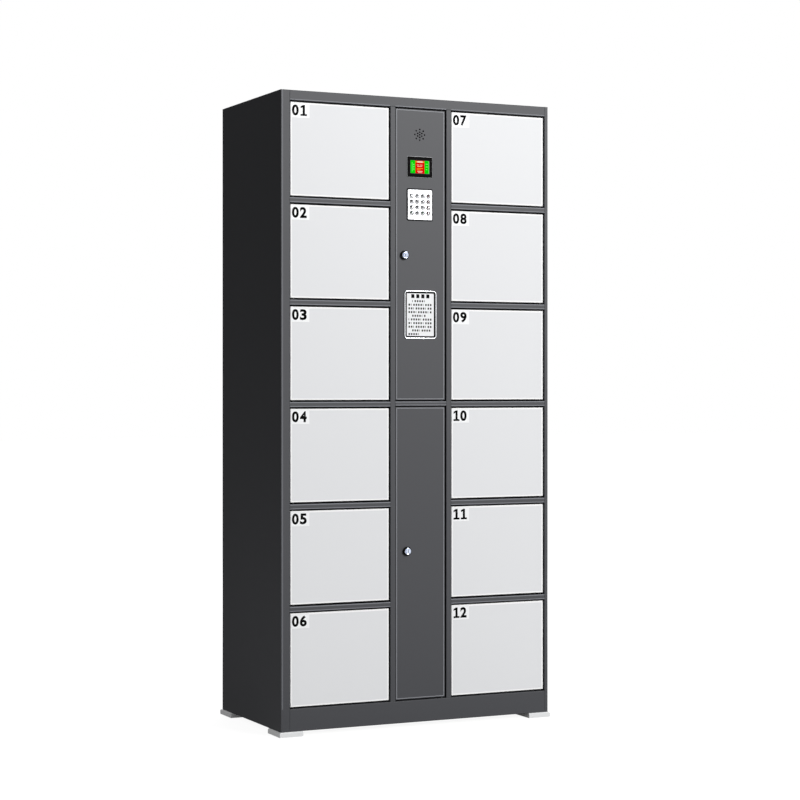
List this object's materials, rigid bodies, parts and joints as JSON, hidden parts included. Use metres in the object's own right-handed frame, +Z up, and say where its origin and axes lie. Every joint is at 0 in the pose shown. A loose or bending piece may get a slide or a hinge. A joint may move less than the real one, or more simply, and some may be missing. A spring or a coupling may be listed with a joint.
{
  "type": "electronic locker",
  "caption": "Upright steel locker with columns of small inset doors either side of a control column with screen, keypad and cam locks.",
  "frame": {"origin": "on the floor under the middle of the cabinet", "axes": "+Z up, +X to the right seen from the front, +Y from the front to the back"},
  "size_m": [0.86, 0.47, 1.8],
  "materials": {
    "dark_powder_coat": "fine textured powder coat, satin",
    "white_powder_coat": "smooth powder coat, satin",
    "white_nylon": "moulded, slightly glossy",
    "zinc_plate": "zinc plated",
    "black_nylon": "moulded",
    "supply_case": "plain sheet",
    "circuit_board": "green solder mask",
    "duct_plastic": "extruded",
    "lock_chrome": "polished chrome plate",
    "black_plastic": "moulded, glossy",
    "display": "lit colour display",
    "keypad_steel": "brushed stainless",
    "key_metal": "satin chrome",
    "notice_rim": "polished rim",
    "notice_paper": "printed card"
  },
  "bodies": {
    "cabinet": {"left_side_panel": "dark_powder_coat", "right_side_panel": "dark_powder_coat", "top_panel": "dark_powder_coat", "base_panel": "dark_powder_coat", "back_panel": "dark_powder_coat", "front_frame": "dark_powder_coat", "column_dividers": "dark_powder_coat", "compartment_shelves": "dark_powder_coat", "service_shelves": "dark_powder_coat", "corner_feet": "white_nylon", "door_latches": "zinc_plate", "power_gland": "black_nylon", "power_supply": "supply_case", "control_board": "circuit_board", "cable_duct": "duct_plastic"},
    "upper_control_door": {"upper_service_door": "dark_powder_coat", "upper_lock_barrel": "lock_chrome", "screen_bezel": "black_plastic", "screen_panel": "display", "speaker": "black_plastic", "keypad_plate": "keypad_steel", "keypad_base": "black_plastic", "notice_frame": "notice_rim", "notice_card": "notice_paper"},
    "lower_control_door": {"lower_service_door": "dark_powder_coat", "lower_lock_barrel": "lock_chrome"},
    "upper_lock_core": {"upper_lock_plug": "lock_chrome"},
    "lower_lock_core": {"lower_lock_plug": "lock_chrome"},
    "compartment_door_01": {"door_01": "white_powder_coat"},
    "compartment_door_02": {"door_02": "white_powder_coat"},
    "compartment_door_03": {"door_03": "white_powder_coat"},
    "compartment_door_04": {"door_04": "white_powder_coat"},
    "compartment_door_05": {"door_05": "white_powder_coat"},
    "compartment_door_06": {"door_06": "white_powder_coat"},
    "compartment_door_07": {"door_07": "white_powder_coat"},
    "compartment_door_08": {"door_08": "white_powder_coat"},
    "compartment_door_09": {"door_09": "white_powder_coat"},
    "compartment_door_10": {"door_10": "white_powder_coat"},
    "compartment_door_11": {"door_11": "white_powder_coat"},
    "compartment_door_12": {"door_12": "white_powder_coat"},
    "pressed_key_1": {"key_1": "key_metal"},
    "pressed_key_2": {"key_2": "key_metal"},
    "pressed_key_3": {"key_3": "key_metal"},
    "pressed_key_a": {"key_a": "key_metal"},
    "pressed_key_4": {"key_4": "key_metal"},
    "pressed_key_5": {"key_5": "key_metal"},
    "pressed_key_6": {"key_6": "key_metal"},
    "pressed_key_b": {"key_b": "key_metal"},
    "pressed_key_7": {"key_7": "key_metal"},
    "pressed_key_8": {"key_8": "key_metal"},
    "pressed_key_9": {"key_9": "key_metal"},
    "pressed_key_c": {"key_c": "key_metal"},
    "pressed_key_star": {"key_star": "key_metal"},
    "pressed_key_0": {"key_0": "key_metal"},
    "pressed_key_hash": {"key_hash": "key_metal"},
    "pressed_key_d": {"key_d": "key_metal"}
  },
  "joints": [
    {"name": "upper_control_door_hinge", "type": "hinge", "parent": "cabinet", "child": "upper_control_door", "pos_m": [0.077, -0.2205, 1.352], "axis": [0, 0, 1], "range_deg": [0, 95]},
    {"name": "lower_control_door_hinge", "type": "hinge", "parent": "cabinet", "child": "lower_control_door", "pos_m": [0.077, -0.2205, 0.498], "axis": [0, 0, 1], "range_deg": [0, 95]},
    {"name": "upper_lock_turn", "type": "hinge", "parent": "upper_control_door", "child": "upper_lock_core", "pos_m": [-0.043, -0.2205, 1.35], "axis": [0, 1, 0], "range_deg": [0, 90]},
    {"name": "lower_lock_turn", "type": "hinge", "parent": "lower_control_door", "child": "lower_lock_core", "pos_m": [-0.035, -0.2205, 0.504], "axis": [0, 1, 0], "range_deg": [0, 90]},
    {"name": "door_01_hinge", "type": "hinge", "parent": "cabinet", "child": "compartment_door_01", "pos_m": [-0.386, -0.2205, 1.637], "axis": [0, 0, -1], "range_deg": [0, 100]},
    {"name": "door_02_hinge", "type": "hinge", "parent": "cabinet", "child": "compartment_door_02", "pos_m": [-0.386, -0.2205, 1.352], "axis": [0, 0, -1], "range_deg": [0, 100]},
    {"name": "door_03_hinge", "type": "hinge", "parent": "cabinet", "child": "compartment_door_03", "pos_m": [-0.386, -0.2205, 1.067], "axis": [0, 0, -1], "range_deg": [0, 100]},
    {"name": "door_04_hinge", "type": "hinge", "parent": "cabinet", "child": "compartment_door_04", "pos_m": [-0.386, -0.2205, 0.782], "axis": [0, 0, -1], "range_deg": [0, 100]},
    {"name": "door_05_hinge", "type": "hinge", "parent": "cabinet", "child": "compartment_door_05", "pos_m": [-0.386, -0.2205, 0.497], "axis": [0, 0, -1], "range_deg": [0, 100]},
    {"name": "door_06_hinge", "type": "hinge", "parent": "cabinet", "child": "compartment_door_06", "pos_m": [-0.386, -0.2205, 0.212], "axis": [0, 0, -1], "range_deg": [0, 100]},
    {"name": "door_07_hinge", "type": "hinge", "parent": "cabinet", "child": "compartment_door_07", "pos_m": [0.402, -0.2205, 1.637], "axis": [0, 0, 1], "range_deg": [0, 100]},
    {"name": "door_08_hinge", "type": "hinge", "parent": "cabinet", "child": "compartment_door_08", "pos_m": [0.402, -0.2205, 1.352], "axis": [0, 0, 1], "range_deg": [0, 100]},
    {"name": "door_09_hinge", "type": "hinge", "parent": "cabinet", "child": "compartment_door_09", "pos_m": [0.402, -0.2205, 1.067], "axis": [0, 0, 1], "range_deg": [0, 100]},
    {"name": "door_10_hinge", "type": "hinge", "parent": "cabinet", "child": "compartment_door_10", "pos_m": [0.402, -0.2205, 0.782], "axis": [0, 0, 1], "range_deg": [0, 100]},
    {"name": "door_11_hinge", "type": "hinge", "parent": "cabinet", "child": "compartment_door_11", "pos_m": [0.402, -0.2205, 0.497], "axis": [0, 0, 1], "range_deg": [0, 100]},
    {"name": "door_12_hinge", "type": "hinge", "parent": "cabinet", "child": "compartment_door_12", "pos_m": [0.402, -0.2205, 0.212], "axis": [0, 0, 1], "range_deg": [0, 100]},
    {"name": "key_1_press", "type": "slide", "parent": "upper_control_door", "child": "pressed_key_1", "axis": [0, 1, 0], "range_m": [0, 0.0012], "stiffness_N_per_m": 300, "springref_m": -0.0005},
    {"name": "key_2_press", "type": "slide", "parent": "upper_control_door", "child": "pressed_key_2", "axis": [0, 1, 0], "range_m": [0, 0.0012], "stiffness_N_per_m": 300, "springref_m": -0.0005},
    {"name": "key_3_press", "type": "slide", "parent": "upper_control_door", "child": "pressed_key_3", "axis": [0, 1, 0], "range_m": [0, 0.0012], "stiffness_N_per_m": 300, "springref_m": -0.0005},
    {"name": "key_a_press", "type": "slide", "parent": "upper_control_door", "child": "pressed_key_a", "axis": [0, 1, 0], "range_m": [0, 0.0012], "stiffness_N_per_m": 300, "springref_m": -0.0005},
    {"name": "key_4_press", "type": "slide", "parent": "upper_control_door", "child": "pressed_key_4", "axis": [0, 1, 0], "range_m": [0, 0.0012], "stiffness_N_per_m": 300, "springref_m": -0.0005},
    {"name": "key_5_press", "type": "slide", "parent": "upper_control_door", "child": "pressed_key_5", "axis": [0, 1, 0], "range_m": [0, 0.0012], "stiffness_N_per_m": 300, "springref_m": -0.0005},
    {"name": "key_6_press", "type": "slide", "parent": "upper_control_door", "child": "pressed_key_6", "axis": [0, 1, 0], "range_m": [0, 0.0012], "stiffness_N_per_m": 300, "springref_m": -0.0005},
    {"name": "key_b_press", "type": "slide", "parent": "upper_control_door", "child": "pressed_key_b", "axis": [0, 1, 0], "range_m": [0, 0.0012], "stiffness_N_per_m": 300, "springref_m": -0.0005},
    {"name": "key_7_press", "type": "slide", "parent": "upper_control_door", "child": "pressed_key_7", "axis": [0, 1, 0], "range_m": [0, 0.0012], "stiffness_N_per_m": 300, "springref_m": -0.0005},
    {"name": "key_8_press", "type": "slide", "parent": "upper_control_door", "child": "pressed_key_8", "axis": [0, 1, 0], "range_m": [0, 0.0012], "stiffness_N_per_m": 300, "springref_m": -0.0005},
    {"name": "key_9_press", "type": "slide", "parent": "upper_control_door", "child": "pressed_key_9", "axis": [0, 1, 0], "range_m": [0, 0.0012], "stiffness_N_per_m": 300, "springref_m": -0.0005},
    {"name": "key_c_press", "type": "slide", "parent": "upper_control_door", "child": "pressed_key_c", "axis": [0, 1, 0], "range_m": [0, 0.0012], "stiffness_N_per_m": 300, "springref_m": -0.0005},
    {"name": "key_star_press", "type": "slide", "parent": "upper_control_door", "child": "pressed_key_star", "axis": [0, 1, 0], "range_m": [0, 0.0012], "stiffness_N_per_m": 300, "springref_m": -0.0005},
    {"name": "key_0_press", "type": "slide", "parent": "upper_control_door", "child": "pressed_key_0", "axis": [0, 1, 0], "range_m": [0, 0.0012], "stiffness_N_per_m": 300, "springref_m": -0.0005},
    {"name": "key_hash_press", "type": "slide", "parent": "upper_control_door", "child": "pressed_key_hash", "axis": [0, 1, 0], "range_m": [0, 0.0012], "stiffness_N_per_m": 300, "springref_m": -0.0005},
    {"name": "key_d_press", "type": "slide", "parent": "upper_control_door", "child": "pressed_key_d", "axis": [0, 1, 0], "range_m": [0, 0.0012], "stiffness_N_per_m": 300, "springref_m": -0.0005}
  ]
}
